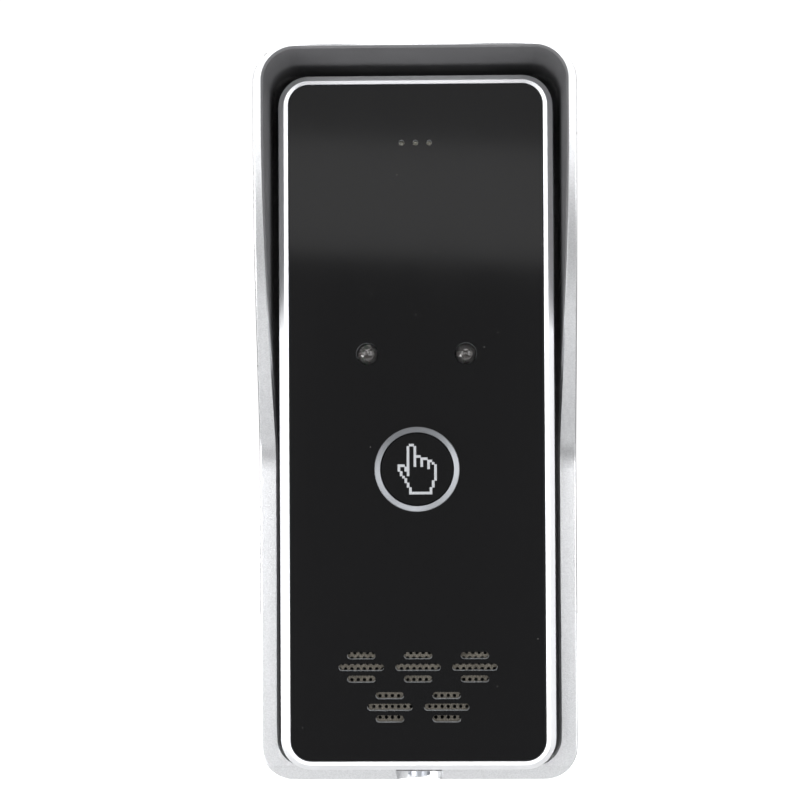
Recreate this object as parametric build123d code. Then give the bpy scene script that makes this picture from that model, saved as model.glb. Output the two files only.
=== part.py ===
from build123d import *

import os
from math import cos, radians, sin

# Door intercom panel: an upright door station in a painted rain hood.
# Millimetres. +Z is up and the wall is the plane Y = 0. The origin is the centre of the hood's
# wall face. Every depth below is a distance out from the wall, towards the visitor (-Y).

# --- Rain hood -----------------------------------------------------------------------------
HOOD_BACK_SIZE = (79.0, 176.0)
HOOD_LIP_SIZE = (74.5, 174.2)
HOOD_BACK_RADIUS = 8.0
HOOD_LIP_RADIUS = 9.0
HOOD_DEPTH = 45.0
BACK_PLATE = 2.4
CAVITY_BACK_SIZE = (68.5, 166.4)
CAVITY_LIP_SIZE = (69.8, 172.0)
CAVITY_BACK_RADIUS = 6.0
CAVITY_LIP_RADIUS = 7.4
FLANGE_DEPTH = 12.0
SWEEP_TOP_Z = 72.0
SWEEP_ANGLE = 31.8
BROW_RADIUS = 90.0
FOOT_RADIUS = 16.0
FOOT_SLOPE_TOP_Z = -84.35
FOOT_SLOPE_DEPTH = 1.0
LIP_CHAMFER = 0.5
EDGE_RADIUS = 0.5

SCOOP_RADIUS = 6.7
LOCK_DEPTH = 15.0
TAB_Z = (-84.4, -82.5)
TAB_WIDTH = 11.0
TAB_DEPTHS = (3.0, 19.0)
TAB_HOLE_RADIUS = 1.7
LOCK_SCREW_RADIUS = 1.5
LOCK_SHANK = 8.0
LOCK_HEAD_RADIUS = 2.75
LOCK_HEAD_HEIGHT = 1.4
LOCK_SLOT = (4.0, 0.8, 0.5)

WALL_HOLE_SPACING = (50.0, 120.0)
WALL_HOLE_RADIUS = 2.2
CABLE_Z = 18.0
GROMMET_HOLE_RADIUS = 6.5
GROMMET_FLANGE_RADIUS = 8.0
GROMMET_FLANGE = 1.2
GROMMET_INSET = 0.3
CABLE_RADIUS = 4.0

HOOK_X = 12.0
HOOK_WIDTH = 8.0
HOOK_Z = (58.0, 61.0, 65.0)
HOOK_DEPTHS = (8.3, 10.0)
HOOK_SLOT_Z = (53.0, 61.1)

# --- Unit: bezel, panel and the two housings -------------------------------------------------
BEZEL_SIZE = (65.0, 164.3)
BEZEL_RADIUS = 7.3
BEZEL_DEPTHS = (24.0, 31.0)
BEZEL_CHAMFER = 1.3
BEZEL_BEVEL = (0.8, 0.25)
WINDOW_SIZE = (60.5, 160.2)
WINDOW_RADIUS = 5.0
SKIRT_SIZE = (62.5, 161.8)
SKIRT_RADIUS = 6.0
PANEL_DEPTHS = (28.6, 30.6)
PANEL_GAP = 0.1
PANEL_CHAMFER = 0.2
TAPE_DEPTHS = (28.3, 28.6)
TAPE_WIDTH = 3.0
TAPE_INSET = 0.4
TAPE_INNER_RADIUS = 2.0

HOUSING_SIZE = (64.2, 163.5)
HOUSING_RADIUS = 6.9
NECK_SIZE = (62.3, 161.6)
NECK_RADIUS = 5.9
WALL = 2.0
UNIT_BACK = 6.0
UNIT_BACK_CHAMFER = 0.8
SEAL_DEPTHS = (18.7, 19.3)
SEAL_WIDTH = 1.3
SEAL_INSET = 0.3
NECK_DEPTH = 24.0
DECK_DEPTHS = (26.3, 28.3)

HOUSING_SCREW_XZ = (25.5, 75.5)
HOUSING_BOSS_RADIUS = 3.0
HOUSING_SCREW_RADIUS = 1.25
HOUSING_SCREW_END = 25.5
HOUSING_HEAD_RADIUS = 2.3
HOUSING_HEAD_BACK = 7.4
HOUSING_HEAD_SEAT = 9.2
HOUSING_HEAD_HOLE = 2.5
HOUSING_SCREW_HOLE = 1.5
LOCK_BOSS_RADIUS = 3.0
LOCK_BOSS_HEIGHT = 8.0
LOCK_BOSS_HOLE_DEPTH = 6.0
HOOK_SLOT_PLAY = 0.6
BOARD_SIZE = (56.0, 113.5)
BOARD_Z = 14.75
BOARD_DEPTHS = (20.4, 22.0)
BOARD_RADIUS = 1.5
BOARD_SCREW_XZ = (24.0, 51.5)
BOARD_BOSS_RADIUS = 2.5
BOARD_SCREW_RADIUS = 1.0
BOARD_SCREW_DEPTHS = (19.0, 26.0)
BOARD_HEAD_RADIUS = 2.0
BOARD_HOLE_RADIUS = 1.2
SCREW_CLEARANCE = 0.03
TERMINAL_Z = 40.0
TERMINAL_WINDOW = (26.0, 14.0)
TERMINAL_WINDOW_RADIUS = 2.0
TERMINAL_SIZE = (20.4, 8.0)
TERMINAL_BACK = 10.4
TERMINAL_WAYS = 4
TERMINAL_PITCH = 5.08
TERMINAL_WELL = (1.9, 2.5)
TERMINAL_WIRE_HOLE = (3.2, 3.6, 5.0)
TERMINAL_WIRE_DEPTH = 17.4
TERMINAL_HEAD_RADIUS = 1.8
TERMINAL_HEAD_DEPTHS = (11.2, 12.9)
TERMINAL_SLOT = (4.0, 0.6, 0.6)

CHIP_SIZE = (10.2, 4.4, 1.7)
CHIP_STANDOFF = 0.2
CHIP_PLACES = ((-14.0, 44.0), (14.0, -28.0))
CHIP_PITCH = 1.27
CHIP_LEG = (0.4, 1.2, 0.8)
CAPACITORS = ((-18.0, 8.0, 3.15, 8.0), (-18.0, -2.0, 3.15, 8.0), (17.0, 3.0, 4.0, 9.0))
CAPACITOR_GROOVE_DEPTH = 1.6
CAPACITOR_GROOVE = 0.3
CAPACITOR_EDGE = 0.4
CONNECTOR_PLACE = (9.0, -37.5)
CONNECTOR_SIZE = (7.4, 4.6, 5.8)
CONNECTOR_WELL = (6.0, 3.2, 4.6)

# --- Call button -----------------------------------------------------------------------------
BUTTON_Z = -11.2
RING_OUTER = 10.05
RING_INNER = 8.75
RING_DEPTHS = (28.35, 31.0)
RING_BEVEL = (1.15, 0.4)
RING_EDGE = 0.12
CAP_RADIUS = 8.6
CAP_FRONT = 30.5
CAP_EDGE = 0.2
CAP_FLANGE_RADIUS = 9.6
CAP_FLANGE_DEPTHS = (25.3, 26.2)
CAP_HOLE_RADIUS = 8.9
ICON_WIDTH = 0.62
ICON_CELL = 0.54
ICON_ORIGIN = (-2.13, 5.71)
ICON_DEPTHS = (30.25, 30.55)
SWITCH_SIZE = 6.0
SWITCH_TOP = 24.4
STEM_RADIUS = 1.7
STEM_CLEARANCE = 0.1
STEM_DEPTHS = (23.3, 25.25)
STEM_BORE = 22.6

# --- Lamps and microphone --------------------------------------------------------------------
LED_X = 11.65
LED_Z = 16.1
LED_RADIUS = 2.5
LED_FLANGE_RADIUS = 2.9
LED_TIP = 30.9
LED_HOLE_RADIUS = 2.6
LED_FLANGE_DEPTHS = (22.3, 23.3)
LED_LEG_X = 1.27
LED_LEG = 0.5
LED_LEG_OVERLAP = 0.2
HOLDER_RADIUS = 3.7
HOLDER_BORE = 2.55
HOLDER_DEPTHS = (23.4, 26.2)
MIC_Z = 66.1
MIC_PITCH = 3.24
MIC_HOLE_RADIUS = 0.65
FELT_RADIUS = 4.5
FELT_DEPTHS = (27.2, 28.55)
FELT_CLEARANCE = 0.1
BOOT_RADIUS = 4.8
BOOT_DEPTHS = (22.1, 26.25)
BOOT_MOUTH_RADIUS = 1.6
BOOT_TAIL_RADIUS = 1.0
CAPSULE_RADIUS = 3.0
CAPSULE_DEPTHS = (22.6, 25.3)
CAPSULE_CLEARANCE = 0.02

# --- Speaker ---------------------------------------------------------------------------------
SLOT_HEIGHT = 1.65
SLOT_LENGTHS = (6.7, 10.7, 6.7)
SLOT_PITCH = 2.75
CLUSTER_PITCH = 13.4
ROW_Z = (-57.9, -67.3)
ROW_CLUSTERS = (3, 2)
SPEAKER_Z = -62.6
GRILLE_SIZE = (43.0, 23.0)
GRILLE_RADIUS = 3.0
GRILLE_CLEARANCE = 0.1
GRILLE_DEPTHS = (28.05, 28.55)
GRILLE_REBATE = 28.0
SPEAKER_WINDOW = (41.0, 21.0)
BASKET_RADIUS = 15.5
BASKET_DEPTHS = (20.5, 25.5)
BASKET_SHEET = 1.2
BASKET_FLOOR_RADIUS = 6.4
BASKET_MOUTH_RADIUS = 13.9
BASKET_VENT_RADIUS = 5.0
GASKET_FRONT = 26.25
GASKET_WIDTH = 1.6
MAGNET_RADIUS = 9.0
MAGNET_BACK = 15.5


def depth_plane(depth):
    """A plane parallel to the wall, facing the visitor, with X to the right and Z up."""
    return Plane(origin=(0, -depth, 0), x_dir=(1, 0, 0), z_dir=(0, -1, 0))


def slab(sketch, depths):
    """A sketch of the front view, made solid between two depths."""
    back, front = depths
    return extrude(depth_plane(back) * sketch, front - back)


def plate(size, radius, depths, x=0.0, z=0.0):
    """A flat plate with rounded corners."""
    return slab(Pos(x, z) * RectangleRounded(*size, radius), depths)


def block(width, height, depths, x=0.0, z=0.0):
    """A square-cornered block."""
    return slab(Pos(x, z) * Rectangle(width, height), depths)


def disc(radius, depths, x=0.0, z=0.0):
    """A round disc or hole whose axis stands out from the wall."""
    return slab(Pos(x, z) * Circle(radius), depths)


def turned(outline, x=0.0, z=0.0):
    """A turned piece from a closed outline of (radius, depth) points."""
    plane = Plane(origin=(x, 0, z), x_dir=(1, 0, 0), z_dir=(0, 0, -1))
    face = plane * make_face(Polyline(*outline, close=True))
    return revolve(face, Axis((x, 0, z), (0, -1, 0)))


def tapered_plate(back_size, back_radius, front_size, front_radius, depths):
    """A rounded plate whose sides draft from one outline to another."""
    back, front = depths
    outlines = [
        depth_plane(back) * RectangleRounded(*back_size, back_radius),
        depth_plane(front) * RectangleRounded(*front_size, front_radius),
    ]
    return loft(outlines, ruled=True)


def corners(half_x, half_z, centre_z=0.0):
    """The four points of a rectangle about the centre line."""
    return [(x, centre_z + z) for x in (-half_x, half_x) for z in (-half_z, half_z)]


def shrink(size, amount):
    """A size taken in by the same amount on every side."""
    return (size[0] - 2 * amount, size[1] - 2 * amount)


def together(shapes):
    """Several separate solids of one node."""
    return Compound(children=[solid for shape in shapes for solid in shape.solids()])


# --- Rain hood -------------------------------------------------------------------------------
def side_prism(outline):
    """A face drawn in the side view, as (depth, z), made solid across the whole hood."""
    side_view = Plane(origin=(0, 0, 0), x_dir=(0, -1, 0), z_dir=(-1, 0, 0))
    return extrude(side_view * make_face(outline), HOOD_BACK_SIZE[0], both=True)


def foot_slope():
    """The sliver that makes the flange lean back below the unit."""
    bottom = -HOOD_BACK_SIZE[1] / 2
    clear = FLANGE_DEPTH + FOOT_SLOPE_DEPTH
    points = [
        (FLANGE_DEPTH, FOOT_SLOPE_TOP_Z),
        (FLANGE_DEPTH - FOOT_SLOPE_DEPTH, bottom),
        (clear, bottom),
        (clear, FOOT_SLOPE_TOP_Z),
    ]
    return side_prism(Polyline(*points, close=True))


def front_sweep():
    """What the hood's side view leaves out: all in front of the brow, the slope and the flange."""
    drop = (BROW_RADIUS + FOOT_RADIUS) * (1 - cos(radians(SWEEP_ANGLE)))
    slope = (HOOD_DEPTH - FLANGE_DEPTH - drop) / sin(radians(SWEEP_ANGLE))
    far = FLANGE_DEPTH
    brow = JernArc((HOOD_DEPTH, SWEEP_TOP_Z), (0, -1), BROW_RADIUS, -SWEEP_ANGLE)
    straight = Line(brow @ 1, brow @ 1 + (brow % 1) * slope)
    foot = JernArc(straight @ 1, straight % 1, FOOT_RADIUS, SWEEP_ANGLE)
    below = -HOOD_BACK_SIZE[1] / 2 - far
    rest = Polyline(
        foot @ 1,
        (FLANGE_DEPTH, below),
        (HOOD_DEPTH + far, below),
        (HOOD_DEPTH + far, SWEEP_TOP_Z),
        brow @ 0,
    )
    return side_prism([brow, straight, foot, rest])


def rim_edges(shell, inner):
    """The edges of the hood's front rim, on its cavity side or on its outer side."""
    margin = 0.2
    half_width = CAVITY_LIP_SIZE[0] / 2 + margin
    top = CAVITY_LIP_SIZE[1] / 2 + margin
    bottom = -CAVITY_BACK_SIZE[1] / 2 - 3 * LIP_CHAMFER
    rim = []
    for edge in shell.edges():
        box = edge.bounding_box()
        on_front = -box.max.Y > FLANGE_DEPTH - margin and abs((edge % 0.5).Y) < 0.9
        within = box.max.X < half_width and box.min.X > -half_width
        within = within and bottom < box.min.Z and box.max.Z < top
        if on_front and within == inner:
            rim.append(edge)
    return rim


def hood_hooks():
    """Two upturned hooks on the back plate that carry the unit."""
    hooks = []
    for x in (-HOOK_X, HOOK_X):
        low, shelf, tip = HOOK_Z
        stem = block(HOOK_WIDTH, shelf - low, (BACK_PLATE, HOOK_DEPTHS[1]), x, (low + shelf) / 2)
        lip = block(HOOK_WIDTH, tip - low, HOOK_DEPTHS, x, (low + tip) / 2)
        hooks += [stem, lip]
    return hooks


def lock_tab():
    """The tongue under the unit that its lock screw pulls up against."""
    low, high = TAB_Z
    tab = block(TAB_WIDTH, high - low, TAB_DEPTHS, 0, (low + high) / 2)
    hole = Pos(0, -LOCK_DEPTH, (low + high) / 2) * Cylinder(TAB_HOLE_RADIUS, 2 * (high - low))
    return tab - hole


def rain_hood():
    """The painted hood: back plate, low flange, tall sides and brow, all one moulding."""
    whole = (0, HOOD_DEPTH)
    shell = tapered_plate(HOOD_BACK_SIZE, HOOD_BACK_RADIUS, HOOD_LIP_SIZE, HOOD_LIP_RADIUS, whole)
    cavity = (BACK_PLATE, HOOD_DEPTH)
    shell -= tapered_plate(
        CAVITY_BACK_SIZE, CAVITY_BACK_RADIUS, CAVITY_LIP_SIZE, CAVITY_LIP_RADIUS, cavity
    )
    shell -= front_sweep()
    shell = fillet(rim_edges(shell, inner=False), EDGE_RADIUS)
    shell = chamfer(rim_edges(shell, inner=True), LIP_CHAMFER) - foot_slope()
    scoop_height = 6.0
    shell -= Pos(0, -LOCK_DEPTH, -HOOD_BACK_SIZE[1] / 2) * Cylinder(SCOOP_RADIUS, 2 * scoop_height)
    for piece in [*hood_hooks(), lock_tab()]:
        shell += piece
    through = (-1, BACK_PLATE + 1)
    half_x, half_z = WALL_HOLE_SPACING[0] / 2, WALL_HOLE_SPACING[1] / 2
    for x, z in corners(half_x, half_z):
        shell -= disc(WALL_HOLE_RADIUS, through, x, z)
    return shell - disc(GROMMET_HOLE_RADIUS, through, 0, CABLE_Z)


def cable_grommet():
    """The rubber grommet in the hood's cable hole."""
    flange_front = BACK_PLATE + GROMMET_FLANGE
    outline = [
        (CABLE_RADIUS, GROMMET_INSET),
        (GROMMET_HOLE_RADIUS, GROMMET_INSET),
        (GROMMET_HOLE_RADIUS, BACK_PLATE),
        (GROMMET_FLANGE_RADIUS, BACK_PLATE),
        (GROMMET_FLANGE_RADIUS, flange_front),
        (CABLE_RADIUS, flange_front),
    ]
    return turned(outline, 0, CABLE_Z)


def lock_screw():
    """The M3 screw that holds the foot of the unit down to the hood's tab."""
    head_top = TAB_Z[0]
    head_bottom = head_top - LOCK_HEAD_HEIGHT
    head_middle = Pos(0, -LOCK_DEPTH, (head_top + head_bottom) / 2)
    head = head_middle * Cylinder(LOCK_HEAD_RADIUS, LOCK_HEAD_HEIGHT)
    length, width, depth = LOCK_SLOT
    head -= Pos(0, -LOCK_DEPTH, head_bottom) * Box(length, width, 2 * depth)
    shank = Pos(0, -LOCK_DEPTH, head_top + LOCK_SHANK / 2) * Cylinder(LOCK_SCREW_RADIUS, LOCK_SHANK)
    return head + shank


# --- Unit shell ------------------------------------------------------------------------------
def bezel_frame():
    """The silver frame: a sloped outer edge, a shallow slope in to the panel, a skirt behind."""
    back, front = BEZEL_DEPTHS
    frame = plate(BEZEL_SIZE, BEZEL_RADIUS, BEZEL_DEPTHS)
    frame = chamfer(frame.faces().sort_by(Axis.Y)[0].edges(), BEZEL_CHAMFER)
    frame -= plate(WINDOW_SIZE, WINDOW_RADIUS, BEZEL_DEPTHS)
    width, depth = BEZEL_BEVEL
    wide = shrink(WINDOW_SIZE, -width)
    bevel = (front - depth, front)
    frame -= tapered_plate(WINDOW_SIZE, WINDOW_RADIUS, wide, WINDOW_RADIUS + width, bevel)
    return frame - plate(SKIRT_SIZE, SKIRT_RADIUS, (back, PANEL_DEPTHS[0]))


def slot_places():
    """Each speaker slot as (x, z, length): clusters of three, in two rows."""
    places = []
    for row_z, clusters in zip(ROW_Z, ROW_CLUSTERS):
        for cluster in range(clusters):
            x = (cluster - (clusters - 1) / 2) * CLUSTER_PITCH
            for step, length in zip((1, 0, -1), SLOT_LENGTHS):
                places.append((x, row_z + step * SLOT_PITCH, length))
    return places


def front_panel():
    """The black acrylic panel with its lamp, button, microphone and speaker openings."""
    sheet = plate(shrink(WINDOW_SIZE, PANEL_GAP), WINDOW_RADIUS - PANEL_GAP, PANEL_DEPTHS)
    sheet = chamfer(sheet.faces().sort_by(Axis.Y)[0].edges(), PANEL_CHAMFER)
    sheet -= disc(RING_OUTER, PANEL_DEPTHS, 0, BUTTON_Z)
    for x in (-LED_X, LED_X):
        sheet -= disc(LED_HOLE_RADIUS, PANEL_DEPTHS, x, LED_Z)
    for step in (-1, 0, 1):
        sheet -= disc(MIC_HOLE_RADIUS, PANEL_DEPTHS, step * MIC_PITCH, MIC_Z)
    for x, z, length in slot_places():
        sheet -= slab(Pos(x, z) * SlotOverall(length, SLOT_HEIGHT), PANEL_DEPTHS)
    return sheet


def panel_tape():
    """The frame of foam tape that bonds the panel to the housing."""
    outer = shrink(WINDOW_SIZE, TAPE_INSET)
    inner = plate(shrink(outer, TAPE_WIDTH), TAPE_INNER_RADIUS, TAPE_DEPTHS)
    return plate(outer, WINDOW_RADIUS - TAPE_INSET, TAPE_DEPTHS) - inner


def front_housing():
    """The black tray behind the panel: a deck, a stepped wall and screw bosses."""
    rim, neck, deck = SEAL_DEPTHS[1], NECK_DEPTH, DECK_DEPTHS[0]
    body = plate(HOUSING_SIZE, HOUSING_RADIUS, (rim, neck))
    body += plate(NECK_SIZE, NECK_RADIUS, (neck, DECK_DEPTHS[1]))
    inside = shrink(NECK_SIZE, WALL)
    body -= plate(inside, NECK_RADIUS - WALL, (rim, deck))
    for x, z in corners(*HOUSING_SCREW_XZ):
        body += disc(HOUSING_BOSS_RADIUS, (rim, deck), x, z)
        body -= disc(HOUSING_SCREW_RADIUS + SCREW_CLEARANCE, (rim, deck), x, z)
    for x, z in corners(*BOARD_SCREW_XZ, BOARD_Z):
        body += disc(BOARD_BOSS_RADIUS, (BOARD_DEPTHS[1], deck), x, z)
        body -= disc(BOARD_SCREW_RADIUS + SCREW_CLEARANCE, (BOARD_DEPTHS[1], deck), x, z)
    body -= disc(CAP_HOLE_RADIUS, DECK_DEPTHS, 0, BUTTON_Z)
    for x in (-LED_X, LED_X):
        body -= disc(LED_HOLE_RADIUS, DECK_DEPTHS, x, LED_Z)
    body -= disc(FELT_RADIUS, DECK_DEPTHS, 0, MIC_Z)
    body -= plate(SPEAKER_WINDOW, GRILLE_RADIUS, DECK_DEPTHS, 0, SPEAKER_Z)
    rebate = shrink(GRILLE_SIZE, -GRILLE_CLEARANCE)
    return body - plate(rebate, GRILLE_RADIUS, (GRILLE_REBATE, DECK_DEPTHS[1]), 0, SPEAKER_Z)


def rear_housing():
    """The rear shell: hook slots, terminal window, screw towers and the lock-screw boss."""
    rim, inner_back = SEAL_DEPTHS[0], UNIT_BACK + WALL
    body = plate(HOUSING_SIZE, HOUSING_RADIUS, (UNIT_BACK, rim))
    body = chamfer(body.faces().sort_by(Axis.Y)[-1].edges(), UNIT_BACK_CHAMFER)
    body -= plate(shrink(HOUSING_SIZE, WALL), HOUSING_RADIUS - WALL, (inner_back, rim))
    for x, z in corners(*HOUSING_SCREW_XZ):
        body += disc(HOUSING_BOSS_RADIUS, (inner_back, rim), x, z)
        body -= disc(HOUSING_SCREW_HOLE, (UNIT_BACK, rim), x, z)
        body -= disc(HOUSING_HEAD_HOLE, (UNIT_BACK, HOUSING_HEAD_SEAT), x, z)
    low, high = HOOK_SLOT_Z
    slot_width = HOOK_WIDTH + HOOK_SLOT_PLAY
    for x in (-HOOK_X, HOOK_X):
        body -= block(slot_width, high - low, (UNIT_BACK, inner_back), x, (low + high) / 2)
    window = (UNIT_BACK, inner_back)
    body -= plate(TERMINAL_WINDOW, TERMINAL_WINDOW_RADIUS, window, 0, TERMINAL_Z)
    bottom = -HOUSING_SIZE[1] / 2
    boss = Cylinder(LOCK_BOSS_RADIUS, LOCK_BOSS_HEIGHT)
    hole = Cylinder(LOCK_SCREW_RADIUS + SCREW_CLEARANCE, LOCK_BOSS_HOLE_DEPTH)
    body += Pos(0, -LOCK_DEPTH, bottom + LOCK_BOSS_HEIGHT / 2) * boss
    return body - Pos(0, -LOCK_DEPTH, bottom + LOCK_BOSS_HOLE_DEPTH / 2) * hole


def housing_seal():
    """The rubber seal between the two housings."""
    outer = shrink(HOUSING_SIZE, SEAL_INSET)
    radius = HOUSING_RADIUS - SEAL_INSET
    inner = plate(shrink(outer, SEAL_WIDTH), radius - SEAL_WIDTH, SEAL_DEPTHS)
    return plate(outer, radius, SEAL_DEPTHS) - inner


def housing_screws():
    """Four screws from behind that draw the housings together."""
    outline = [
        (0, HOUSING_HEAD_BACK),
        (HOUSING_HEAD_RADIUS, HOUSING_HEAD_BACK),
        (HOUSING_HEAD_RADIUS, HOUSING_HEAD_SEAT),
        (HOUSING_SCREW_RADIUS, HOUSING_HEAD_SEAT),
        (HOUSING_SCREW_RADIUS, HOUSING_SCREW_END),
        (0, HOUSING_SCREW_END),
    ]
    return together([turned(outline, x, z) for x, z in corners(*HOUSING_SCREW_XZ)])


# --- Board and what is soldered to it ----------------------------------------------------------
def main_board():
    """The circuit board, held by four screws."""
    board = plate(BOARD_SIZE, BOARD_RADIUS, BOARD_DEPTHS, 0, BOARD_Z)
    for x, z in corners(*BOARD_SCREW_XZ, BOARD_Z):
        board -= disc(BOARD_HOLE_RADIUS, BOARD_DEPTHS, x, z)
    return board


def board_screws():
    """Four small screws that hold the board to the front housing."""
    seat = BOARD_DEPTHS[0]
    back, end = BOARD_SCREW_DEPTHS
    outline = [
        (0, back),
        (BOARD_HEAD_RADIUS, back),
        (BOARD_HEAD_RADIUS, seat),
        (BOARD_SCREW_RADIUS, seat),
        (BOARD_SCREW_RADIUS, end),
        (0, end),
    ]
    return together([turned(outline, x, z) for x, z in corners(*BOARD_SCREW_XZ, BOARD_Z)])


def chip(x, z):
    """A moulded chip with legs along its two long sides, on the board's front."""
    width, height, thickness = CHIP_SIZE
    leg_width, leg_length, leg_height = CHIP_LEG
    face = BOARD_DEPTHS[1]
    body = block(width, height, (face + CHIP_STANDOFF, face + thickness), x, z)
    leg_offset = (height + leg_length) / 2 - leg_width / 4
    count = int(width / CHIP_PITCH)
    for index in range(count):
        leg_x = x + (index - (count - 1) / 2) * CHIP_PITCH
        for side in (-1, 1):
            leg_z = z + side * leg_offset
            body += block(leg_width, leg_length, (face, face + leg_height), leg_x, leg_z)
    return body


def audio_chips():
    """The amplifier chip and the line-interface chip."""
    return together([chip(x, z) for x, z in CHIP_PLACES])


def capacitors():
    """Three electrolytic capacitors on the back of the board."""
    top = BOARD_DEPTHS[0]
    cans = []
    groove = top - CAPACITOR_GROOVE_DEPTH
    for x, z, radius, height in CAPACITORS:
        outline = [
            (0, top),
            (radius, top),
            (radius, groove + CAPACITOR_GROOVE),
            (radius - CAPACITOR_GROOVE, groove),
            (radius, groove - CAPACITOR_GROOVE),
            (radius, top - height + CAPACITOR_EDGE),
            (radius - CAPACITOR_EDGE, top - height),
            (0, top - height),
        ]
        cans.append(turned(outline, x, z))
    return together(cans)


def terminal_ways():
    """Where across the terminal block each of its ways is."""
    middle = (TERMINAL_WAYS - 1) / 2
    return [(index - middle) * TERMINAL_PITCH for index in range(TERMINAL_WAYS)]


def terminal_block():
    """The four-way screw terminal for the door cable, on the back of the board."""
    body = block(*TERMINAL_SIZE, (TERMINAL_BACK, BOARD_DEPTHS[0]), 0, TERMINAL_Z)
    well_radius, well_depth = TERMINAL_WELL
    wire_hole = Box(*TERMINAL_WIRE_HOLE)
    wire_z = TERMINAL_Z - TERMINAL_WIRE_HOLE[2] / 2
    for x in terminal_ways():
        body -= disc(well_radius, (TERMINAL_BACK, TERMINAL_BACK + well_depth), x, TERMINAL_Z)
        body -= Pos(x, -TERMINAL_WIRE_DEPTH, wire_z) * wire_hole
    return body


def terminal_screws():
    """The four slotted screws of the terminal block."""
    screws = []
    back = TERMINAL_HEAD_DEPTHS[0]
    length, width, depth = TERMINAL_SLOT
    for x in terminal_ways():
        head = disc(TERMINAL_HEAD_RADIUS, TERMINAL_HEAD_DEPTHS, x, TERMINAL_Z)
        screws.append(head - block(length, width, (back, back + depth), x, TERMINAL_Z))
    return together(screws)


def speaker_connector():
    """The two-way plug socket for the speaker lead."""
    width, height, length = CONNECTOR_SIZE
    well_width, well_height, well_depth = CONNECTOR_WELL
    front = BOARD_DEPTHS[0]
    back = front - length
    body = block(width, height, (back, front), *CONNECTOR_PLACE)
    return body - block(well_width, well_height, (back, back + well_depth), *CONNECTOR_PLACE)


def tact_switch():
    """The switch body behind the call button."""
    body = block(SWITCH_SIZE, SWITCH_SIZE, (BOARD_DEPTHS[1], SWITCH_TOP), 0, BUTTON_Z)
    return body - disc(STEM_RADIUS + STEM_CLEARANCE, (STEM_BORE, SWITCH_TOP), 0, BUTTON_Z)


def switch_stem():
    """The round stem of the switch, which the cap pushes in."""
    return disc(STEM_RADIUS, STEM_DEPTHS, 0, BUTTON_Z)


# --- Call button -------------------------------------------------------------------------------
def button_ring():
    """The silver trim ring, bevelled down towards the cap."""
    back, front = RING_DEPTHS
    outline = [
        (RING_INNER, back),
        (RING_OUTER, back),
        (RING_OUTER, front - RING_EDGE),
        (RING_OUTER - RING_EDGE, front),
        (RING_INNER + RING_BEVEL[0], front),
        (RING_INNER, front - RING_BEVEL[1]),
    ]
    return turned(outline, 0, BUTTON_Z)


# The hand as runs of square cells: (first column, first row, last column, last row), rows down.
HAND_RUNS = (
    (1, 0, 2, 0),
    (0, 1, 0, 13),
    (3, 1, 3, 9),
    (4, 5, 5, 5),
    (6, 6, 6, 9),
    (7, 6, 8, 6),
    (9, 7, 9, 10),
    (10, 7, 10, 7),
    (11, 8, 11, 8),
    (12, 9, 12, 15),
    (11, 16, 11, 18),
    (10, 19, 10, 20),
    (1, 21, 10, 21),
    (1, 19, 1, 20),
    (0, 17, 0, 18),
    (-1, 15, -1, 16),
    (-2, 14, -2, 14),
    (-3, 12, -3, 13),
    (-4, 9, -4, 11),
    (-3, 9, -2, 9),
    (-1, 10, -1, 11),
)


def icon_strokes():
    """A pointing hand in outline, stepped on a square grid; each run laps over its neighbours."""
    left, top = ICON_ORIGIN
    strokes = Sketch()
    for first_column, first_row, last_column, last_row in HAND_RUNS:
        width = (last_column - first_column) * ICON_CELL + ICON_WIDTH
        height = (last_row - first_row) * ICON_CELL + ICON_WIDTH
        x = left + (first_column + last_column) / 2 * ICON_CELL
        z = top - (first_row + last_row) / 2 * ICON_CELL
        strokes += Pos(x, BUTTON_Z + z) * Rectangle(width, height)
    return strokes


def hand_icon():
    """The white hand, inlaid in the cap."""
    return slab(icon_strokes(), ICON_DEPTHS)


def button_cap():
    """The black cap: a disc with a flange behind the deck that stops it coming out."""
    flange_back, flange_front = CAP_FLANGE_DEPTHS
    outline = [
        (0, flange_back),
        (CAP_FLANGE_RADIUS, flange_back),
        (CAP_FLANGE_RADIUS, flange_front),
        (CAP_RADIUS, flange_front),
        (CAP_RADIUS, CAP_FRONT - CAP_EDGE),
        (CAP_RADIUS - CAP_EDGE, CAP_FRONT),
        (0, CAP_FRONT),
    ]
    return turned(outline, 0, BUTTON_Z) - hand_icon()


# --- Lamps and microphone ----------------------------------------------------------------------
def led(x):
    """A clear 5 mm lamp with its flange and two legs."""
    plane = Plane(origin=(x, 0, LED_Z), x_dir=(1, 0, 0), z_dir=(0, 0, -1))
    foot, rim = LED_FLANGE_DEPTHS
    shoulder = LED_TIP - LED_RADIUS
    middle = (LED_RADIUS * sin(radians(45)), shoulder + LED_RADIUS * cos(radians(45)))
    sides = Polyline(
        (0, foot),
        (LED_FLANGE_RADIUS, foot),
        (LED_FLANGE_RADIUS, rim),
        (LED_RADIUS, rim),
        (LED_RADIUS, shoulder),
    )
    dome = ThreePointArc((LED_RADIUS, shoulder), middle, (0, LED_TIP))
    outline = make_face([sides, dome, Line((0, LED_TIP), (0, foot))])
    lamp = revolve(plane * outline, Axis((x, 0, LED_Z), (0, -1, 0)))
    leg_depths = (BOARD_DEPTHS[1], foot + LED_LEG_OVERLAP)
    for leg_x in (x - LED_LEG_X, x + LED_LEG_X):
        lamp += block(LED_LEG, LED_LEG, leg_depths, leg_x, LED_Z)
    return lamp


def led_holders():
    """Two black sleeves that hold the lamps square to the panel."""
    sleeves = []
    for x in (-LED_X, LED_X):
        bore = disc(HOLDER_BORE, HOLDER_DEPTHS, x, LED_Z)
        sleeves.append(disc(HOLDER_RADIUS, HOLDER_DEPTHS, x, LED_Z) - bore)
    return together(sleeves)


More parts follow.
